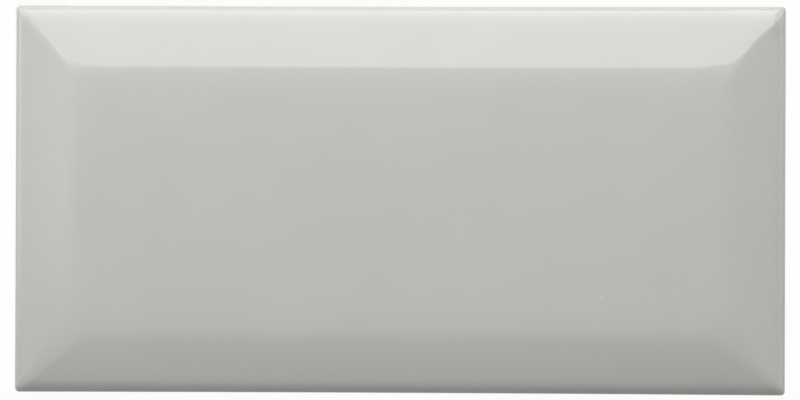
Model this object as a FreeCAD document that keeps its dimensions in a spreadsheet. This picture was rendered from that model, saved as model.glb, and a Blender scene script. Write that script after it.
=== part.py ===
import FreeCAD, Part
import math
import os

import Sketcher

# Bevelled ceramic wall tile of the 75 x 150 mm format, lying on its back.
# It is one pressed and fired piece: a drafted foot, an upright side, a pillowed edge, a mitred bevel that is
# slightly crowned and climbs to the flat face through a soft arris, and a grid of key cells in the back.
# The origin is the centre of the back, +X runs along the tile and +Z comes out of its face. Millimetres.

SIZES = {
    "tile_length": 149.0,
    "tile_width": 75.0,
    "tile_thickness": 8.0,
    # plan radius of the four corners
    "corner_radius": 0.8,
    # the bevelled border in plan, from the side to the flat face
    "border_run": 13.4,
    # plan radius of the mitred ridges where they reach the face
    "ridge_radius": 4.6,
    # the soft arris between the bevel and the face
    "arris_radius": 16.0,
    # the bevel's middle slope in degrees, and how much flatter its head and steeper its foot are
    "bevel_slope": 14.5,
    "bevel_crown": 3.0,
    # the pillowed edge between the side and the bevel is part of an ellipse with these half axes
    "pillow_reach": 6.0,
    "pillow_height": 3.0,
    # the foot narrows from the waist to the back, as it has to leave the die
    "waist_height": 1.2,
    "foot_draft": 0.5,
    # the key cells of the back, with the plain border round them and the ribs between them
    "key_margin": 3.6,
    "key_depth": 0.6,
    "key_taper": 30.0,
    "rib_width": 1.4,
    "key_columns": 16,
    "key_rows": 8,
}

# Outlines that each rounded stretch is drawn through, after its first.
PILLOW_STEPS = 6
BEVEL_STEPS = 3
ARRIS_STEPS = 3

doc = FreeCAD.newDocument("bevelled_wall_tile")
sheet = doc.addObject("Spreadsheet::Sheet", "sizes")
for row, (alias, number) in enumerate(SIZES.items(), start=1):
    sheet.set(f"A{row}", str(number))
    sheet.setAlias(f"A{row}", alias)
doc.recompute()

# The crowned bevel is an arc between the slopes of its foot and its head, and the arris goes on to the level.
FOOT_SLOPE = "(sizes.bevel_slope + sizes.bevel_crown)"
HEAD_SLOPE = "(sizes.bevel_slope - sizes.bevel_crown)"
# The angle round the pillow's ellipse at which it leans as the bevel's foot does.
PILLOW_TURN = f"atan(sizes.pillow_height / (sizes.pillow_reach * tan({FOOT_SLOPE})))"
PILLOW_RUN = f"(sizes.pillow_reach * (1 - cos({PILLOW_TURN})))"
BEVEL_RUN = f"(sizes.border_run - sizes.arris_radius * sin({HEAD_SLOPE}) - {PILLOW_RUN})"
BEVEL_RADIUS = f"({BEVEL_RUN} / (sin({FOOT_SLOPE}) - sin({HEAD_SLOPE})))"
# Heights from the face down: the bevel's head, the pillow's top and the top of the upright side.
BEVEL_TOP = f"(sizes.tile_thickness - sizes.arris_radius * (1 - cos({HEAD_SLOPE})))"
PILLOW_TOP = f"({BEVEL_TOP} - {BEVEL_RUN} * tan(sizes.bevel_slope))"
SIDE_TOP = f"({PILLOW_TOP} - sizes.pillow_height * sin({PILLOW_TURN}))"

# The key cells and the ribs between them fill the back evenly, inside its plain border.
KEYED_LENGTH = "(sizes.tile_length - 2 * (sizes.foot_draft + sizes.key_margin))"
KEYED_WIDTH = "(sizes.tile_width - 2 * (sizes.foot_draft + sizes.key_margin))"
COLUMN_PITCH = f"(({KEYED_LENGTH} + sizes.rib_width) / sizes.key_columns)"
ROW_PITCH = f"(({KEYED_WIDTH} + sizes.rib_width) / sizes.key_rows)"


def value(expression):
    """The number that an expression of the sheet's sizes comes to."""
    result = sheet.evalExpression(expression)
    return float(getattr(result, "Value", result))


def point(x, y):
    return FreeCAD.Vector(x, y, 0)


def level_sketch(body, name, height):
    """An empty sketch, level with the back and at a height above it."""
    sketch = body.newObject("Sketcher::SketchObject", name)
    back_plane = next(plane for plane in body.Origin.OriginFeatures if plane.Role == "XY_Plane")
    sketch.AttachmentSupport = (back_plane, [""])
    sketch.MapMode = "FlatFace"
    sketch.setExpression("AttachmentOffset.Base.z", height)
    return sketch


def dimension(sketch, name, constraint, expression):
    """Adds a named dimension to a sketch and binds it to the sheet's sizes."""
    index = sketch.addConstraint(constraint)
    sketch.renameConstraint(index, name)
    sketch.setExpression(f"Constraints.{name}", expression)


def outline(body, name, inset, height, radius):
    """A rounded rectangle, inset all round from the tile's full length and width."""
    length = f"sizes.tile_length - 2 * {inset}"
    width = f"sizes.tile_width - 2 * {inset}"
    x, y, corner = value(length) / 2, value(width) / 2, value(radius)
    straight_x, straight_y = x - corner, y - corner

    def line(start_x, start_y, end_x, end_y):
        return Part.LineSegment(point(start_x, start_y), point(end_x, end_y))

    def quarter(centre_x, centre_y, start):
        circle = Part.Circle(point(centre_x, centre_y), FreeCAD.Vector(0, 0, 1), corner)
        return Part.ArcOfCircle(circle, math.radians(start), math.radians(start + 90))

    sketch = level_sketch(body, name, height)
    sketch.addGeometry(
        [
            line(-straight_x, -y, straight_x, -y),
            quarter(straight_x, -straight_y, 270),
            line(x, -straight_y, x, straight_y),
            quarter(straight_x, straight_y, 0),
            line(straight_x, y, -straight_x, y),
            quarter(-straight_x, straight_y, 90),
            line(-x, straight_y, -x, -straight_y),
            quarter(-straight_x, -straight_y, 180),
        ]
    )
    front, right, back, left = 0, 2, 4, 6
    corners = (1, 3, 5, 7)
    start, end, centre = 1, 2, 3
    for piece in range(8):
        sketch.addConstraint(Sketcher.Constraint("Tangent", piece, end, (piece + 1) % 8, start))
    for side in (front, back):
        sketch.addConstraint(Sketcher.Constraint("Horizontal", side))
    for side in (left, right):
        sketch.addConstraint(Sketcher.Constraint("Vertical", side))
    for other in corners[1:]:
        sketch.addConstraint(Sketcher.Constraint("Equal", corners[0], other))
    sketch.addConstraint(Sketcher.Constraint("Symmetric", corners[0], centre, corners[2], centre, -1, 1))
    dimension(sketch, "length", Sketcher.Constraint("DistanceX", left, end, right, start, 2 * x), length)
    dimension(sketch, "width", Sketcher.Constraint("DistanceY", front, start, back, end, 2 * y), width)
    dimension(sketch, "radius", Sketcher.Constraint("Radius", corners[0], corner), radius)
    return sketch


def face_outline(body, name, inset, height):
    """An outline of the bevelled side, where the mitred ridges grow rounder towards the face."""
    growth = "(sizes.ridge_radius - sizes.corner_radius) / sizes.border_run"
    return outline(body, name, inset, height, f"sizes.corner_radius + {inset} * {growth}")


def loft(body, name, outlines, straight):
    """Adds material through a stack of outlines, straight from one to the next or in one curve."""
    feature = body.newObject("PartDesign::AdditiveLoft", name)
    feature.Profile = outlines[0]
    feature.Sections = outlines[1:]
    feature.Ruled = straight
    return feature


def foot_and_side(body):
    """The drafted foot that the tile lies on, and the short upright side that faces the joint."""
    back = outline(body, "BackOutline", "sizes.foot_draft", "0", "sizes.corner_radius")
    waist = outline(body, "WaistOutline", "0", "sizes.waist_height", "sizes.corner_radius")
    loft(body, "DraftedFoot", [back, waist], straight=True)
    side = body.newObject("PartDesign::Pad", "UprightSide")
    side.Profile = waist
    side.setExpression("Length", f"{SIDE_TOP} - sizes.waist_height")


def bevelled_face(body):
    """The pillowed edge, the mitred bevel and the soft arris, up to the flat face."""
    pillow = []
    for step in range(PILLOW_STEPS + 1):
        turned = f"({PILLOW_TURN} * {step} / {PILLOW_STEPS})"
        inset = f"(sizes.pillow_reach * (1 - cos({turned})))"
        height = f"{SIDE_TOP} + sizes.pillow_height * sin({turned})"
        pillow.append(face_outline(body, f"PillowOutline{step}", inset, height))
    bevel = [pillow[-1]]
    for step in range(1, BEVEL_STEPS + 1):
        lean = f"({FOOT_SLOPE} + ({HEAD_SLOPE} - {FOOT_SLOPE}) * {step} / {BEVEL_STEPS})"
        inset = f"({PILLOW_RUN} + {BEVEL_RADIUS} * (sin({FOOT_SLOPE}) - sin({lean})))"
        height = f"{PILLOW_TOP} + {BEVEL_RADIUS} * (cos({lean}) - cos({FOOT_SLOPE}))"
        bevel.append(face_outline(body, f"BevelOutline{step}", inset, height))
    arris = [bevel[-1]]
    for step in range(1, ARRIS_STEPS + 1):
        lean = f"({HEAD_SLOPE} * (1 - {step} / {ARRIS_STEPS}))"
        inset = f"(sizes.border_run - sizes.arris_radius * sin({lean}))"
        height = f"sizes.tile_thickness - sizes.arris_radius * (1 - cos({lean}))"
        arris.append(face_outline(body, f"ArrisOutline{step}", inset, height))
    for name, outlines in (("PillowedEdge", pillow), ("CrownedBevel", bevel), ("SoftArris", arris)):
        loft(body, name, outlines, straight=False)


def key_cells(body):
    """The pressed grid of the back: one tapered cell, repeated along the length and the width."""
    cell_length = f"{COLUMN_PITCH} - sizes.rib_width"
    cell_width = f"{ROW_PITCH} - sizes.rib_width"
    x, y = -value(KEYED_LENGTH) / 2, -value(KEYED_WIDTH) / 2
    end_x, end_y = x + value(cell_length), y + value(cell_width)
    corners = [point(x, y), point(end_x, y), point(end_x, end_y), point(x, end_y)]

    sketch = level_sketch(body, "KeyCellOutline", "0")
    sketch.addGeometry([Part.LineSegment(corners[side], corners[(side + 1) % 4]) for side in range(4)])
    front, right, back, left = range(4)
    origin = -1
    for side in range(4):
        sketch.addConstraint(Sketcher.Constraint("Coincident", side, 2, (side + 1) % 4, 1))
    for side in (front, back):
        sketch.addConstraint(Sketcher.Constraint("Horizontal", side))
    for side in (left, right):
        sketch.addConstraint(Sketcher.Constraint("Vertical", side))
    span_x = Sketcher.Constraint("DistanceX", front, 1, front, 2, end_x - x)
    span_y = Sketcher.Constraint("DistanceY", right, 1, right, 2, end_y - y)
    from_x = Sketcher.Constraint("DistanceX", front, 1, origin, 1, -x)
    from_y = Sketcher.Constraint("DistanceY", front, 1, origin, 1, -y)
    dimension(sketch, "length", span_x, cell_length)
    dimension(sketch, "width", span_y, cell_width)
    dimension(sketch, "from_middle_x", from_x, f"{KEYED_LENGTH} / 2")
    dimension(sketch, "from_middle_y", from_y, f"{KEYED_WIDTH} / 2")

    cell = body.newObject("PartDesign::Pocket", "KeyCell")
    cell.Profile = sketch
    cell.Reversed = True
    cell.setExpression("Length", "sizes.key_depth")
    cell.setExpression("TaperAngle", "-sizes.key_taper * 1 deg")

    grid = body.newObject("PartDesign::LinearPattern", "KeyCells")
    grid.Originals = [cell]
    grid.Direction = (sketch, ["H_Axis"])
    grid.Mode = "Extent"
    grid.setExpression("Length", f"{COLUMN_PITCH} * (sizes.key_columns - 1)")
    grid.setExpression("Occurrences", "sizes.key_columns")
    grid.Direction2 = (sketch, ["V_Axis"])
    grid.Mode2 = "Extent"
    grid.setExpression("Length2", f"{ROW_PITCH} * (sizes.key_rows - 1)")
    grid.setExpression("Occurrences2", "sizes.key_rows")
    body.Tip = grid


def bevelled_tile():
    body = doc.addObject("PartDesign::Body", "bevelled_tile")
    foot_and_side(body)
    bevelled_face(body)
    key_cells(body)
    return body


tile = bevelled_tile()
doc.recompute()

failed = [item.Name for item in doc.Objects if {"Invalid", "Error"} & set(item.State)]
if failed:
    raise RuntimeError(f"these objects failed: {failed}")
if tile.Shape.isNull() or not tile.Shape.isValid() or len(tile.Shape.Solids) != 1:
    raise RuntimeError("the tile is not one valid solid")

os.makedirs("parts", exist_ok=True)
tile.Shape.exportStep(f"parts/{tile.Label}.step")
print(f"{tile.Label}: {tile.Shape.Volume / 1000:.2f} cubic centimetres, {len(tile.Shape.Faces)} faces")
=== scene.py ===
import math

import bmesh
import bpy
from mathutils import Matrix, Vector, noise


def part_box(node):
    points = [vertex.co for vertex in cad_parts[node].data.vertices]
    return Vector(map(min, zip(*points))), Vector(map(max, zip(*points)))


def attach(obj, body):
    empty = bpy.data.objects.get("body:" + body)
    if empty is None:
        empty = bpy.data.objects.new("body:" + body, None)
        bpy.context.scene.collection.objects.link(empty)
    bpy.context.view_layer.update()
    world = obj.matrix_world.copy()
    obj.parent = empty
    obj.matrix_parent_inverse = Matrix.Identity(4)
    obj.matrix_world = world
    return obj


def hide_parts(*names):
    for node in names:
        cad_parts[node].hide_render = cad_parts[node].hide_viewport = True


# Bevelled ceramic wall tile, glazed on its face and bare on its foot and keyed back. Metres.

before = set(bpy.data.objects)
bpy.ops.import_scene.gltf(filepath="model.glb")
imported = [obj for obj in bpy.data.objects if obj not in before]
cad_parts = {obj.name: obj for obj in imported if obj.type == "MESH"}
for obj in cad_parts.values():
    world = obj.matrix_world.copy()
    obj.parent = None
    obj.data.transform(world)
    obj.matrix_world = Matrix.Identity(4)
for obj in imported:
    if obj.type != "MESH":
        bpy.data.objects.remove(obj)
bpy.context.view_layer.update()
MM = 0.001

# The places of the two finishes in the tile's list of materials.
GLAZE, BISCUIT = 0, 1

# The tile's outline and thickness, from the frame.
low_corner, high_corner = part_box("bevelled_tile")
HALF_LENGTH = (high_corner.x - low_corner.x) / 2
HALF_WIDTH = (high_corner.y - low_corner.y) / 2
THICKNESS = high_corner.z - low_corner.z

# The face in section, from the flat field outwards: the glaze's gentle fall at the field's rim, a soft
# arris, a slightly crowned bevel and a pillowed edge. Each lean is the slope where one stretch meets the
# next. The pillow is part of an ellipse, with its reach and height as half sizes.
FIELD_INSET = 17.0 * MM
RIM_RADIUS = 110.0 * MM
RIM_LEAN = math.radians(2.2)
ARRIS_RADIUS = 16.0 * MM
ARRIS_LEAN = math.radians(11.5)
BEVEL_LEAN = math.radians(17.5)
PILLOW_REACH = 6.0 * MM
PILLOW_HEIGHT = 3.0 * MM

# The corners in plan: their radius at the side, and each corner with the rate at which its mitred ridge
# grows rounder towards the field. The ridges differ a little, because the glaze pools unevenly on them.
CORNER_RADIUS = 0.8 * MM
CORNERS = [(-1, -1, 0.30), (1, -1, 0.30), (1, 1, 0.26), (-1, 1, 0.15)]

# The long sides shrank in the fire by this much more at their middle.
SIDE_WAIST = 0.14 * MM

# The glaze runs a little way down the side and ends in a wandering lip over the bare biscuit. The lip's
# points go inwards by shares of the glaze's depth, and up, each with its finish and the glaze's thinness.
GLAZE_EDGE_HEIGHT = 2.1 * MM
GLAZE_EDGE_WANDER = 0.45 * MM
GLAZE_EDGE_SIZE = 4.0 * MM
GLAZE_DEPTH = 0.12 * MM
LIP = [
    (1, 0, BISCUIT, 1),
    (0.42, 0.05 * MM, GLAZE, 1),
    (0.1, 0.16 * MM, GLAZE, 0.6),
    (0, 0.3 * MM, GLAZE, 0.25),
]

# The bare foot under the glaze: how far it draws in, the round of its worn lower edge, with points in
# shares of it, and the height of its bend into the upright side. Its points go inwards and up.
FOOT_DRAFT = 0.5 * MM
FOOT_ROUND = 0.35 * MM
WORN_EDGE = [(1, 0), (0.4, 0.15), (0.06, 0.6)]
FOOT_HEIGHT = 1.2 * MM
FOOT_BEND = [(0.08 * MM, -0.1 * MM), (0, 0.15 * MM)]

# The nicks in the foot's lower edge: a depth that none of them passes, their width, how far in from the
# side they may lie, and how scarce they are, where 1 would be none.
NICK_DEPTH = 0.35 * MM
NICK_SIZE = 1.6 * MM
NICK_REACH = 2.0 * MM
NICK_SCARCITY = 0.35

# Dents in the rolled edge and the bevel: place, reach along and across the tile, and depth. A swelling has
# a depth below zero.
DENTS = [
    ((66.8 * MM, 36.6 * MM), (2.0 * MM, 0.25 * MM), 0.09 * MM),
    ((-72.0 * MM, 37.0 * MM), (3.5 * MM, 0.4 * MM), 0.12 * MM),
    ((72.6 * MM, 33.9 * MM), (1.3 * MM, 1.6 * MM), -0.3 * MM),
]

# The glaze settles in long, shallow ripples: the size across and the depth of each kind.
RIPPLES = [(34 * MM, 0.014 * MM), (12 * MM, 0.004 * MM), (5 * MM, 0.0012 * MM)]

# The key cells of the back, the plain border round them and the ribs between them. Every face that lies
# wholly below the bare height is biscuit.
KEY_COLUMNS = 16
KEY_ROWS = 8
KEY_MARGIN = 3.6 * MM
KEY_DEPTH = 0.6 * MM
KEY_TAPER = math.radians(30)
RIB_WIDTH = 1.4 * MM
RIB_ROUND = 0.12 * MM
BARE_HEIGHT = KEY_DEPTH + 0.25 * MM

# Where each random relief starts in the noise: its seed along the tile, that many times the slant across
# it, and one level for all.
LIP_SEED = 2.1
NICK_SEED = 5.3
RIPPLE_SEED = 7.7
NOISE_SLANT = 3.7
NOISE_LEVEL = 1.9

# Divisions of the mesh, and the lean between two faces from which their edge is a sharp one.
LONG_STEPS = 200
SHORT_STEPS = 100
CORNER_STEPS = 24
PILLOW_STEPS = 14
BEVEL_STEPS = 8
ARRIS_STEPS = 9
RIM_STEPS = 6
RIB_STEPS = 2
FLOOR_STEPS = 64
SHARP_ANGLE = math.radians(40)

# The light of the sky on the tile.
SKY_STRENGTH = 0.235

# The floor: its radius, how far under the tile it reaches and how far below the back it lies, how much of
# it glows white to the eye, its paint, and the painted shade beside the long sides, a greyer paint, with
# its reach and blend.
FLOOR_RADIUS = 6.0
FLOOR_HOLD = 1.8 * MM
FLOOR_GAP = 0.02 * MM
FLOOR_GLOW = 0.96
FLOOR_TONE = 0.9
# The floor's painted shade beside the long sides: its grey, how far it reaches and its blend.
SIDE_SHADE_TONE = 0.25
SIDE_SHADE_REACH = 70 * MM
SIDE_SHADE_BLEND = 7 * MM

# The lamps. Their angles are in degrees from straight up. Their start and end are in metres to the left of
# someone who stands at the tile and faces the lamp. The one under the floor lies flat, with its front edge
# taken for the upper one.
LAMP_DISTANCE = 0.5
REAR, LEFT, RIGHT, FRONT = (0, 1, 0), (-1, 0, 0), (1, 0, 0), (0, -1, 0)
LAMPS = [
    # name, side, angles of its upper and lower edge, start and end, brightness at the upper and lower edge,
    # and for a lamp with a fading end the place where the fade starts and the share that is left at the end
    ("rear_glow", REAR, 2, 15.3, -0.24, 0.27, 0.05, 1.25),
    ("key_high", REAR, 15.3, 36, -0.24, 0.27, 3.45, 2.2, -0.05, 0.75),
    ("key_middle", REAR, 36, 60, -0.24, 0.27, 2.2, 2.8, -0.05, 0.75),
    ("key_low", REAR, 60, 84, -0.24, 0.27, 2.8, 3.5, -0.05, 0.75),
    ("left_glow", LEFT, 12, 33, -0.20, 0.04, 0.0, 0.9, -0.005, 0.0),
    ("left_strip", LEFT, 33, 50, -0.20, 0.04, 1.2, 0.4, -0.005, 0.0),
    ("left_low", LEFT, 50, 78, -0.20, 0.04, 0.3, 0.75, -0.005, 0.0),
    ("left_lowest", LEFT, 78, 90, -0.20, 0.04, 1.6, 3.0, -0.005, 0.2),
    ("left_corner", LEFT, 45, 80, -0.36, -0.18, 3.3, 3.3),
    ("right_low", RIGHT, 70, 90, -0.20, 0.20, 0.2, 1.3),
    ("right_corner", RIGHT, 45, 80, 0.20, 0.36, 2.2, 2.2),
    ("front_glow", FRONT, 12, 60, -0.28, 0.28, 0.4, 0.34, -0.2, 0.2),
    ("under_floor", FRONT, 135, 225, -0.35, 0.35, 1.2, 1.2),
]

# The camera: how far off it stands, its tilt, the point in the middle of its picture, the photograph's scale
# and width in pixels, and the width of its sensor in millimetres.
CAMERA_DISTANCE = 0.8
CAMERA_TILT = (math.radians(0.3), math.radians(1.95), math.radians(0.21))
CAMERA_TARGET = (0.11 * MM, -0.04 * MM, 2.6 * MM)
PIXELS_PER_MM = 5.165
IMAGE_WIDTH = 800
SENSOR_WIDTH = 36.0

# Where the two marks in the glaze lie.
FAINT_SPOT = (-1.5 * MM, 9.1 * MM, THICKNESS)
WHITE_SPECK = (39.1 * MM, -18.7 * MM, THICKNESS)


# The tile's outline.

def ring_places():
    """Each vertex of a ring, as the centre that it lies round and its outward direction. A centre is a
    share of the half length, a share of the half width and the rate of the ridge there."""
    places = []
    for side in range(4):
        start, end = Vector(CORNERS[side]), Vector(CORNERS[(side + 1) % 4])
        outward = math.radians(90 * side - 90)
        steps = LONG_STEPS if side % 2 == 0 else SHORT_STEPS
        for step in range(steps):
            places.append((start.lerp(end, step / steps), outward))
        for step in range(CORNER_STEPS):
            places.append((end, outward + math.radians(90) * step / CORNER_STEPS))
    return places


PLACES = ring_places()


def on_outline(number, inset, height):
    """The point of one ring vertex on the outline at that inset from the tile's side."""
    centre, outward = PLACES[number]
    radius = CORNER_RADIUS + centre.z * inset
    x = centre.x * (HALF_LENGTH - inset - radius) + radius * math.cos(outward)
    y = centre.y * (HALF_WIDTH - inset - radius) + radius * math.sin(outward)
    waist = SIDE_WAIST * (1 - (x / HALF_LENGTH) ** 2)
    return Vector((x, y * (1 - waist / HALF_WIDTH), height))


def wander(point, size, seed):
    """A smooth random number from -1 to 1 that changes over that size. Each seed starts elsewhere."""
    return noise.noise(point.xy.to_3d() / size + Vector((seed, NOISE_SLANT * seed, NOISE_LEVEL)))


def inset_of(point):
    """How far a point lies inside the tile's outline, in plan."""
    return min(HALF_LENGTH - abs(point.x), HALF_WIDTH - abs(point.y))


# The tile's section, as levels of inset, height, finish and thinness of the glaze.

def foot_section():
    """From the back up to the upright side: a worn edge and a drafted side, bare."""
    foot = FOOT_DRAFT + GLAZE_DEPTH
    section = [(foot + inward * FOOT_ROUND, up * FOOT_ROUND, BISCUIT, 0) for inward, up in WORN_EDGE]
    section += [(GLAZE_DEPTH + inward, FOOT_HEIGHT + up, BISCUIT, 0) for inward, up in FOOT_BEND]
    return section


def lip_section():
    """The rounded lip in which the glaze ends."""
    return [
        (share * GLAZE_DEPTH, GLAZE_EDGE_HEIGHT + up, finish, thinness)
        for share, up, finish, thinness in LIP
    ]


def pillow_turn():
    """The angle round the pillow's ellipse at which it leans as the bevel does."""
    return math.atan(PILLOW_HEIGHT / (PILLOW_REACH * math.tan(BEVEL_LEAN)))


def pillow_run():
    """How far in from the side the pillow meets the bevel."""
    return PILLOW_REACH * (1 - math.cos(pillow_turn()))


def face_section():
    """From the top of the upright side to the edge of the flat field, as pairs of inset and height."""
    section = [(FIELD_INSET, THICKNESS)]
    crown_run = FIELD_INSET - pillow_run() - RIM_RADIUS * math.sin(RIM_LEAN)
    crown_run -= ARRIS_RADIUS * (math.sin(ARRIS_LEAN) - math.sin(RIM_LEAN))
    crown_radius = crown_run / (math.sin(BEVEL_LEAN) - math.sin(ARRIS_LEAN))
    # Arcs from the field outwards, each starting where the last one ends: radius, leans and divisions.
    for radius, start, end, steps in [
        (RIM_RADIUS, 0, RIM_LEAN, RIM_STEPS),
        (ARRIS_RADIUS, RIM_LEAN, ARRIS_LEAN, ARRIS_STEPS),
        (crown_radius, ARRIS_LEAN, BEVEL_LEAN, BEVEL_STEPS),
    ]:
        inset, height = section[-1]
        for step in range(1, steps + 1):
            lean = start + (end - start) * step / steps
            run = radius * (math.sin(lean) - math.sin(start))
            fall = radius * (math.cos(start) - math.cos(lean))
            section.append((inset - run, height - fall))
    inset, height = section.pop()
    side_top = height - PILLOW_HEIGHT * math.sin(pillow_turn())
    for step in range(PILLOW_STEPS + 1):
        turn = pillow_turn() * (1 - step / PILLOW_STEPS)
        section.append((PILLOW_REACH * (1 - math.cos(turn)), side_top + PILLOW_HEIGHT * math.sin(turn)))
    return section[::-1]


# The tile's mesh.

def build_tile():
    """One closed mesh: rings from the back up to the field, the field's grid and the keyed back."""
    mesh = bmesh.new()
    number_of = mesh.verts.layers.int.new("place")
    thin = mesh.verts.layers.float.new("thin_glaze")
    ring = bmesh.ops.create_circle(mesh, segments=len(PLACES), radius=HALF_WIDTH)["verts"]
    for number, vertex in enumerate(ring):
        vertex[number_of] = number
    edges = list(mesh.edges)

    def settle(vertices, inset, height, thinness):
        """Put the vertices of a ring at one level of the section."""
        for vertex in vertices:
            vertex.co = on_outline(vertex[number_of], inset, height)
            vertex[thin] = thinness

    def next_ring(edges, inset, height, finish, thinness=0):
        """The vertices and edges of a new ring, joined to the last one by a band of that finish."""
        grown = bmesh.ops.extrude_edge_only(mesh, edges=edges)["geom"]
        vertices = [item for item in grown if isinstance(item, bmesh.types.BMVert)]
        settle(vertices, inset, height, thinness)
        for item in grown:
            if isinstance(item, bmesh.types.BMFace):
                item.material_index = finish
        own = set(vertices)
        around = [edge for vertex in vertices for edge in vertex.link_edges if set(edge.verts) <= own]
        return vertices, list(dict.fromkeys(around))

    foot = foot_section()
    settle(ring, *foot[0][:2], 0)
    for level in foot[1:]:
        vertices, edges = next_ring(edges, *level)
    for level in lip_section():
        vertices, edges = next_ring(edges, *level)
        for vertex in vertices:
            vertex.co.z += GLAZE_EDGE_WANDER * wander(vertex.co, GLAZE_EDGE_SIZE, LIP_SEED)
    for inset, height in face_section():
        vertices, edges = next_ring(edges, inset, height, GLAZE)

    fill_field(mesh, number_of, edges)
    fill_back(mesh)
    nick_foot(mesh)
    ripple_face(mesh)
    bmesh.ops.recalc_face_normals(mesh, faces=mesh.faces)
    return mesh


def fill_field(mesh, number_of, edges):
    """The flat field is a grid between the front and rear halves of its rim."""
    half_corner = CORNER_STEPS // 2
    count = len(PLACES)
    span = LONG_STEPS + CORNER_STEPS

    def on_half(edge, start):
        """Whether the edge joins two neighbours in the half rim that begins at that number."""
        numbers = sorted((vertex[number_of] - start) % count for vertex in edge.verts)
        return numbers[0] + 1 == numbers[1] and numbers[1] <= span

    front = [edge for edge in edges if on_half(edge, count - half_corner)]
    rear = [edge for edge in edges if on_half(edge, count // 2 - half_corner)]
    made = bmesh.ops.grid_fill(mesh, edges=front + rear, use_smooth=True)
    for face in made["faces"]:
        face.material_index = GLAZE


def fill_back(mesh):
    """The back: a grid of tapered key cells inside a plain border."""
    before = set(mesh.verts)
    bmesh.ops.create_grid(mesh, x_segments=KEY_COLUMNS, y_segments=KEY_ROWS, size=0.5)
    added = [vertex for vertex in mesh.verts if vertex not in before]
    margin = FOOT_DRAFT + KEY_MARGIN - RIB_WIDTH / 2
    bmesh.ops.scale(mesh, vec=(2 * (HALF_LENGTH - margin), 2 * (HALF_WIDTH - margin), 1), verts=added)
    cells = list({face for vertex in added for face in vertex.link_faces})
    bmesh.ops.reverse_faces(mesh, faces=cells)
    bmesh.ops.inset_individual(mesh, faces=cells, thickness=RIB_WIDTH / 2, use_even_offset=True)
    wall_run = KEY_DEPTH * math.tan(KEY_TAPER)
    walls = bmesh.ops.inset_individual(
        mesh, faces=cells, thickness=wall_run, depth=-KEY_DEPTH, use_even_offset=True)
    bends = list({edge for face in walls["faces"] for edge in face.edges})
    bmesh.ops.bevel(
        mesh, geom=bends, offset=RIB_ROUND, segments=RIB_STEPS, profile=0.5, affect="EDGES", material=-1)
    rims = [edge for edge in mesh.edges if edge.is_boundary]
    bmesh.ops.triangle_fill(mesh, use_beauty=True, edges=rims, normal=(0, 0, -1))
    for face in mesh.faces:
        if max(vertex.co.z for vertex in face.verts) < BARE_HEIGHT:
            face.material_index = BISCUIT


def nick_foot(mesh):
    """Small nicks in the brittle lower edge of the foot."""
    for vertex in mesh.verts:
        if vertex.co.z > FOOT_ROUND or inset_of(vertex.co) >= NICK_REACH:
            continue
        depth = wander(vertex.co, NICK_SIZE, NICK_SEED) - NICK_SCARCITY
        if depth > 0:
            inward = Vector((-vertex.co.x, -vertex.co.y, 0)).normalized()
            vertex.co += inward * NICK_DEPTH * depth


def ripple_face(mesh):
    """The glaze's ripples, always downwards and dying out on the pillowed edge, and the dents."""
    for vertex in mesh.verts:
        inset = inset_of(vertex.co)
        if vertex.co.z < THICKNESS / 2 or inset <= 0:
            continue
        share = min(1, inset / PILLOW_REACH)
        for seed, (size, depth) in enumerate(RIPPLES):
            wave = wander(vertex.co, size, RIPPLE_SEED + seed)
            vertex.co.z -= share * depth * (1 + wave) / 2
        for (x, y), (length, width), depth in DENTS:
            away = ((vertex.co.x - x) / length) ** 2 + ((vertex.co.y - y) / width) ** 2
            vertex.co.z -= depth * math.exp(-away)


def add_piece(name, mesh, materials):
    """Make the mesh an object at the origin, with its materials."""
    data = bpy.data.meshes.new(name)
    mesh.to_mesh(data)
    mesh.free()
    for material in materials:
        data.materials.append(material)
    piece = bpy.data.objects.new(name, data)
    bpy.context.scene.collection.objects.link(piece)
    return piece


# The finishes.

def srgb(red, green, blue):
    """A colour as a screen shows it, from 0 to 255, as linear numbers."""

    def linear(value):
        value = value / 255
        return value / 12.92 if value <= 0.04045 else ((value + 0.055) / 1.055) ** 2.4

    return (linear(red), linear(green), linear(blue), 1.0)


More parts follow.
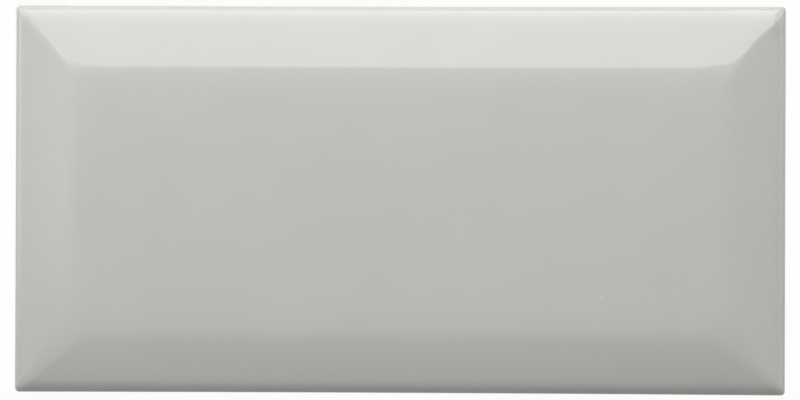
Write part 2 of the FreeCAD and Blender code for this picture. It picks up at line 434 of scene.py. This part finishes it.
class Finish:
    """A material with its nodes, and the few kinds of node that the finishes are made of."""

    def __init__(self, name):
        self.material = bpy.data.materials.new(name)
        self.material.use_nodes = True
        self.nodes = self.material.node_tree.nodes
        self.links = self.material.node_tree.links
        self.shader = self.nodes["Principled BSDF"]
        self.place = self.nodes.new("ShaderNodeTexCoord").outputs["Object"]

    def feed(self, socket, value):
        """Link the socket to another one, or set it to a constant."""
        if isinstance(value, bpy.types.NodeSocket):
            self.links.new(value, socket)
        else:
            socket.default_value = value

    def grain(self, size, detail=2.0):
        """Smooth noise around 0.5, with features of that size."""
        texture = self.nodes.new("ShaderNodeTexNoise")
        texture.inputs["Scale"].default_value = 1 / size
        texture.inputs["Detail"].default_value = detail
        self.links.new(self.place, texture.inputs["Vector"])
        return texture.outputs["Fac"]

    def dots(self, spacing, radius):
        """Round dots at random places: 1 at the middle of a dot, 0 outside."""
        texture = self.nodes.new("ShaderNodeTexVoronoi")
        texture.inputs["Scale"].default_value = 1 / spacing
        self.links.new(self.place, texture.inputs["Vector"])
        return self.ranged(texture.outputs["Distance"], 0, radius / spacing, 1, 0)

    def spot(self, centre, radius):
        """One round spot on the face: 1 in the middle, fading to 0."""
        away = self.nodes.new("ShaderNodeVectorMath")
        away.operation = "DISTANCE"
        away.inputs[1].default_value = centre
        self.links.new(self.place, away.inputs[0])
        return self.ranged(away.outputs["Value"], 0, radius, 1, 0)

    def ranged(self, value, low, high, to_low=0.0, to_high=1.0):
        """The value carried from one range to another, eased at both ends."""
        node = self.nodes.new("ShaderNodeMapRange")
        node.interpolation_type = "SMOOTHSTEP"
        limits = {"From Min": low, "From Max": high, "To Min": to_low, "To Max": to_high}
        for name, amount in limits.items():
            node.inputs[name].default_value = amount
        self.links.new(value, node.inputs["Value"])
        return node.outputs["Result"]

    def maths(self, operation, *values):
        """The result of one sum, such as MULTIPLY, on those values."""
        node = self.nodes.new("ShaderNodeMath")
        node.operation = operation
        for socket, value in zip(node.inputs, values):
            self.feed(socket, value)
        return node.outputs[0]

    def times(self, first, second):
        """One value times the other."""
        return self.maths("MULTIPLY", first, second)

    def blend(self, share, first, second):
        """The first colour, going over to the second as the share goes from 0 to 1."""
        node = self.nodes.new("ShaderNodeMix")
        node.data_type = "RGBA"
        self.feed(node.inputs["Factor"], share)
        self.feed(node.inputs["A"], first)
        self.feed(node.inputs["B"], second)
        return node.outputs["Result"]

    def attribute(self, name):
        """The numbers that the mesh's vertices carry under that name."""
        node = self.nodes.new("ShaderNodeAttribute")
        node.attribute_name = name
        return node.outputs["Fac"]

    def along(self, axis):
        """How far a point lies along the X, Y or Z axis from the middle of the back."""
        node = self.nodes.new("ShaderNodeSeparateXYZ")
        self.links.new(self.place, node.inputs["Vector"])
        return node.outputs[axis]

    def bump(self, height, depth, base=None):
        """Relief of that depth, on top of another relief where one is given."""
        node = self.nodes.new("ShaderNodeBump")
        node.inputs["Distance"].default_value = depth
        self.links.new(height, node.inputs["Height"])
        if base is not None:
            self.links.new(base, node.inputs["Normal"])
        return node.outputs["Normal"]

    def made_of(self, colour, roughness, normal):
        """The material, with its shader fed."""
        self.feed(self.shader.inputs["Base Color"], colour)
        self.feed(self.shader.inputs["Roughness"], roughness)
        self.feed(self.shader.inputs["Normal"], normal)
        return self.material


def glaze_material():
    """Clear gloss over a warm grey white, faintly clouded, with a few specks."""
    finish = Finish("clear_gloss_glaze")
    finish.shader.inputs["IOR"].default_value = 1.5
    clouds = finish.ranged(finish.grain(14 * MM), 0.3, 0.7)
    colour = finish.blend(clouds, srgb(185, 187, 182), srgb(187, 189, 184))
    fine = finish.ranged(finish.grain(0.4 * MM), 0.3, 0.7)
    colour = finish.blend(finish.times(fine, 0.35), colour, srgb(191, 192, 187))
    pinholes = finish.times(finish.dots(11 * MM, 0.16 * MM), 0.35)
    colour = finish.blend(pinholes, colour, srgb(150, 148, 140))
    faint_spot = finish.times(finish.spot(FAINT_SPOT, 0.9 * MM), 0.12)
    colour = finish.blend(faint_spot, colour, srgb(150, 152, 148))
    colour = finish.blend(finish.spot(WHITE_SPECK, 0.3 * MM), colour, srgb(214, 216, 212))
    thin = finish.times(finish.attribute("thin_glaze"), 0.55)
    colour = finish.blend(thin, colour, srgb(196, 184, 162))
    roughness = finish.ranged(finish.grain(9 * MM), 0.35, 0.65, 0.02, 0.035)
    normal = finish.bump(finish.grain(1.3 * MM), 0.0012 * MM)
    return finish.made_of(colour, roughness, normal)


def biscuit_material():
    """Fired clay: cream, speckled and open-grained, with a chalky wash on the ribs, which lay on the kiln's
    rollers."""
    finish = Finish("fired_biscuit")
    clouds = finish.ranged(finish.grain(18 * MM, 4), 0.35, 0.65)
    colour = finish.blend(clouds, srgb(205, 190, 165), srgb(218, 206, 184))
    fine = finish.ranged(finish.grain(0.5 * MM, 4), 0.3, 0.7)
    colour = finish.blend(finish.times(fine, 0.4), colour, srgb(232, 224, 208))
    iron = finish.times(finish.dots(2.6 * MM, 0.22 * MM), 0.6)
    colour = finish.blend(iron, colour, srgb(138, 104, 72))
    rib = finish.ranged(finish.along("Z"), 0.08 * MM, 0.3 * MM, 1, 0)
    patches = finish.ranged(finish.grain(3 * MM, 5), 0.38, 0.58)
    wash = finish.times(finish.times(rib, patches), 0.75)
    colour = finish.blend(wash, colour, srgb(238, 235, 227))
    roughness = finish.ranged(finish.grain(2 * MM), 0.3, 0.7, 0.78, 0.95)
    grains = finish.bump(finish.grain(0.35 * MM, 4), 0.05 * MM)
    normal = finish.bump(finish.dots(1.1 * MM, 0.2 * MM), -0.05 * MM, grains)
    return finish.made_of(colour, roughness, normal)


# The floor, the lights and the camera.

def seen_rays(nodes, links):
    """1 for rays from the camera or out of a reflection, otherwise 0."""
    path = nodes.new("ShaderNodeLightPath")
    total = path.outputs["Is Camera Ray"]
    for name in ("Is Glossy Ray", "Is Transmission Ray"):
        larger = nodes.new("ShaderNodeMath")
        larger.operation = "MAXIMUM"
        links.new(total, larger.inputs[0])
        links.new(path.outputs[name], larger.inputs[1])
        total = larger.outputs[0]
    return total


def floor_material():
    """White to the eye and in reflections, with the tile's shadow kept on it. Its paint is pale, and painted
    shade lies beside the tile's long sides as a greyer paint."""
    finish = Finish("white_floor")
    nodes, links = finish.nodes, finish.links
    length_away = finish.maths("ABSOLUTE", finish.along("X"))
    width_away = finish.maths("ABSOLUTE", finish.along("Y"))
    # Painted shade on the floor: grey paint beside the tile's long sides, fading out over the side reach.
    near = finish.ranged(width_away, HALF_WIDTH, HALF_WIDTH + SIDE_SHADE_REACH, 1, 0)
    # Beyond the lines that run out from the tile's corners at 45 degrees, the painted shade ends and
    # the paint is pale again.
    corner = HALF_LENGTH - HALF_WIDTH
    past_corner = finish.maths("SUBTRACT", length_away, width_away)
    beside = finish.ranged(past_corner, corner - SIDE_SHADE_BLEND, corner + SIDE_SHADE_BLEND, 1, 0)
    # The pale paint, and the grey of the painted shade.
    pale = (FLOOR_TONE, FLOOR_TONE, FLOOR_TONE, 1)
    painted_shade = (SIDE_SHADE_TONE, SIDE_SHADE_TONE, SIDE_SHADE_TONE, 1)
    paint = nodes.new("ShaderNodeBsdfDiffuse")
    links.new(finish.blend(finish.times(near, beside), pale, painted_shade), paint.inputs["Color"])
    glow = nodes.new("ShaderNodeEmission")
    glow.inputs["Strength"].default_value = 1.0
    mix = nodes.new("ShaderNodeMixShader")
    links.new(finish.times(seen_rays(nodes, links), FLOOR_GLOW), mix.inputs[0])
    links.new(paint.outputs[0], mix.inputs[1])
    links.new(glow.outputs[0], mix.inputs[2])
    links.new(mix.outputs[0], nodes["Material Output"].inputs["Surface"])
    nodes.remove(finish.shader)
    return finish.material


def add_floor():
    """A round floor, cut out under the tile, so that the back shows when it is looked at from below."""
    mesh = bmesh.new()
    bmesh.ops.create_grid(mesh, x_segments=1, y_segments=1, size=1)
    opening = (HALF_LENGTH - FLOOR_HOLD, HALF_WIDTH - FLOOR_HOLD, 1)
    bmesh.ops.scale(mesh, vec=opening, verts=mesh.verts)
    bmesh.ops.delete(mesh, geom=list(mesh.faces), context="FACES_ONLY")
    bmesh.ops.create_circle(mesh, segments=FLOOR_STEPS, radius=FLOOR_RADIUS)
    bmesh.ops.triangle_fill(mesh, use_beauty=True, edges=list(mesh.edges), normal=(0, 0, 1))
    bmesh.ops.translate(mesh, vec=(0, 0, -FLOOR_GAP), verts=mesh.verts)
    floor = add_piece("floor", mesh, [floor_material()])


def add_world():
    """A soft pale sky for the light on the tile, and white where it is seen or mirrored."""
    world = bpy.data.worlds.new("studio")
    bpy.context.scene.world = world
    world.use_nodes = True
    nodes, links = world.node_tree.nodes, world.node_tree.links
    nodes.clear()
    output = nodes.new("ShaderNodeOutputWorld")
    background = nodes.new("ShaderNodeBackground")
    strength = nodes.new("ShaderNodeMapRange")
    strength.inputs["To Min"].default_value = SKY_STRENGTH
    strength.inputs["To Max"].default_value = 1.0
    links.new(seen_rays(nodes, links), strength.inputs["Value"])
    links.new(strength.outputs[0], background.inputs["Strength"])
    links.new(background.outputs[0], output.inputs["Surface"])


def add_softbox(name, side, high, low, start, end, high_tone, low_tone, fade_start=0.0, share=1.0):
    """A flat lamp facing the tile. It hangs on one side, between two angles from straight up, runs from
    start to end, and goes evenly over from the brightness of its upper edge to that of its lower one. From
    fade_start to its end it fades to that share of its brightness."""
    side = Vector(side)
    across = Vector((0, 0, 1)).cross(side)
    top = LAMP_DISTANCE * (side * math.sin(high) + Vector((0, 0, math.cos(high))))
    bottom = LAMP_DISTANCE * (side * math.sin(low) + Vector((0, 0, math.cos(low))))
    data = bpy.data.lights.new(name, "AREA")
    data.shape = "RECTANGLE"
    data.size = end - start
    data.size_y = (top - bottom).length
    # The power follows the area, so that the brightness is that of the lamp's face, whatever its size.
    data.energy = math.pi * data.size * data.size_y
    data.use_nodes = True
    nodes, links = data.node_tree.nodes, data.node_tree.links
    place = nodes.new("ShaderNodeNewGeometry").outputs["Parametric"]
    split = nodes.new("ShaderNodeSeparateXYZ")
    links.new(place, split.inputs["Vector"])
    tone = nodes.new("ShaderNodeMapRange")
    tone.inputs["To Min"].default_value = low_tone
    tone.inputs["To Max"].default_value = high_tone
    links.new(split.outputs["Y"], tone.inputs["Value"])
    fade = nodes.new("ShaderNodeMapRange")
    fade.interpolation_type = "SMOOTHSTEP"
    fade.inputs["From Min"].default_value = (fade_start - start) / (end - start)
    fade.inputs["To Min"].default_value = 1.0
    fade.inputs["To Max"].default_value = share
    links.new(split.outputs["X"], fade.inputs["Value"])
    strength = nodes.new("ShaderNodeMath")
    strength.operation = "MULTIPLY"
    links.new(tone.outputs["Result"], strength.inputs[0])
    links.new(fade.outputs["Result"], strength.inputs[1])
    links.new(strength.outputs[0], nodes["Emission"].inputs["Strength"])
    rise = (top - bottom).normalized()
    facing = Matrix((across, rise, across.cross(rise))).transposed().to_4x4()
    facing.translation = (top + bottom) / 2 + across * (start + end) / 2
    lamp = bpy.data.objects.new(name, data)
    bpy.context.scene.collection.objects.link(lamp)
    lamp.matrix_world = facing
    lamp.visible_camera = False


def add_lights():
    """A tall bent softbox behind the tile, with a glow above it, dimmer panels round the tile, and a panel
    under the floor's opening, for the back."""
    for name, side, high, low, *rest in LAMPS:
        add_softbox(name, side, math.radians(high), math.radians(low), *rest)


def add_camera():
    """A long lens almost straight above, at the photograph's scale."""
    data = bpy.data.cameras.new("camera")
    data.sensor_width = SENSOR_WIDTH
    data.lens = SENSOR_WIDTH * CAMERA_DISTANCE / (IMAGE_WIDTH / PIXELS_PER_MM * MM)
    camera = bpy.data.objects.new("camera", data)
    bpy.context.scene.collection.objects.link(camera)
    camera.rotation_euler = CAMERA_TILT
    bpy.context.view_layer.update()
    view = camera.matrix_world.to_3x3() @ Vector((0, 0, -1))
    camera.location = Vector(CAMERA_TARGET) - view * CAMERA_DISTANCE
    bpy.context.scene.camera = camera


tile = add_piece("glazed_tile", build_tile(), [glaze_material(), biscuit_material()])
for polygon in tile.data.polygons:
    polygon.use_smooth = True
tile.data.set_sharp_from_angle(angle=SHARP_ANGLE)
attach(tile, "root")
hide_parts("bevelled_tile")

add_floor()
add_world()
add_lights()
add_camera()
bpy.context.scene.view_settings.view_transform = "Standard"
